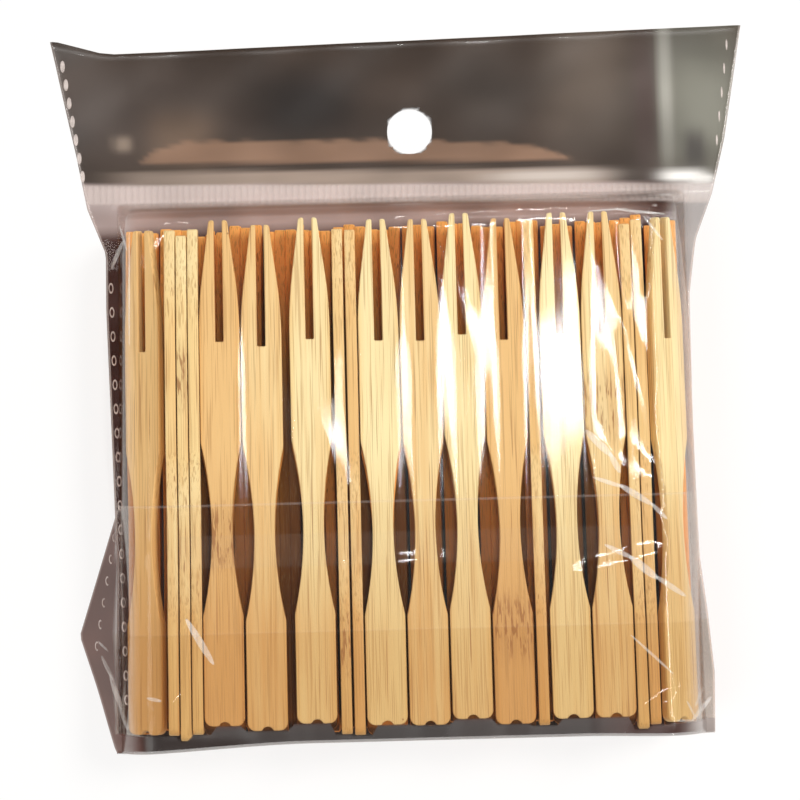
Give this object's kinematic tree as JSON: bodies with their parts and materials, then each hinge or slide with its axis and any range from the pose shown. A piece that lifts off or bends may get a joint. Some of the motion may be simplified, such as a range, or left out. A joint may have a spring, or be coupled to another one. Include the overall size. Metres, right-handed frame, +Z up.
{
  "type": "pack of bamboo forks",
  "caption": "Clear header bag with a hang hole and a folded, glued flap, packed with flat two-tined bamboo forks.",
  "frame": {"origin": "middle of the bottom of the bounding box, on the surface that the pack lies on", "axes": "+Y from the forks' handles to their tines and the hanging header, +Z up from the back film to the front film, +X to the right as the front is looked at with the header at the top"},
  "size_m": [0.1228, 0.127, 0.0164],
  "materials": {
    "bamboo": "bare, fine long grain",
    "inner_bamboo": "bare, fine long grain",
    "smoky_film": "clear film, glossy",
    "glue": "clear, slightly milky"
  },
  "bodies": {
    "root": {"front_fork_01": "bamboo", "front_fork_02": "bamboo", "front_fork_03": "bamboo", "front_fork_04": "bamboo", "front_fork_05": "bamboo", "front_fork_06": "bamboo", "front_fork_07": "bamboo", "front_fork_08": "bamboo", "front_fork_09": "bamboo", "second_fork_01": "bamboo", "second_fork_02": "bamboo", "second_fork_03": "bamboo", "second_fork_04": "bamboo", "second_fork_05": "bamboo", "second_fork_06": "bamboo", "second_fork_07": "bamboo", "second_fork_08": "bamboo", "second_fork_09": "bamboo", "third_fork_01": "bamboo", "third_fork_02": "bamboo", "third_fork_03": "bamboo", "third_fork_04": "bamboo", "third_fork_05": "bamboo", "third_fork_06": "bamboo", "third_fork_07": "bamboo", "third_fork_08": "bamboo", "third_fork_09": "bamboo", "edge_fork_01": "bamboo", "edge_fork_02": "bamboo", "edge_fork_03": "bamboo", "edge_fork_04": "bamboo", "edge_fork_05": "bamboo", "edge_fork_06": "bamboo", "edge_fork_07": "bamboo", "edge_fork_08": "bamboo", "left_side_fork": "bamboo", "right_side_fork": "bamboo", "lower_bundle_01": "inner_bamboo", "lower_bundle_02": "inner_bamboo", "lower_bundle_03": "inner_bamboo", "lower_bundle_04": "inner_bamboo", "lower_bundle_05": "inner_bamboo", "lower_bundle_06": "inner_bamboo", "lower_bundle_07": "inner_bamboo", "lower_bundle_08": "inner_bamboo", "lower_bundle_09": "inner_bamboo", "lower_bundle_10": "inner_bamboo", "lower_bundle_11": "inner_bamboo", "lower_bundle_12": "inner_bamboo", "lower_bundle_13": "inner_bamboo", "lower_bundle_14": "inner_bamboo", "lower_bundle_15": "inner_bamboo", "lower_bundle_16": "inner_bamboo", "film_bag": "smoky_film", "flap_glue_strip": "glue"}
  },
  "joints": []
}
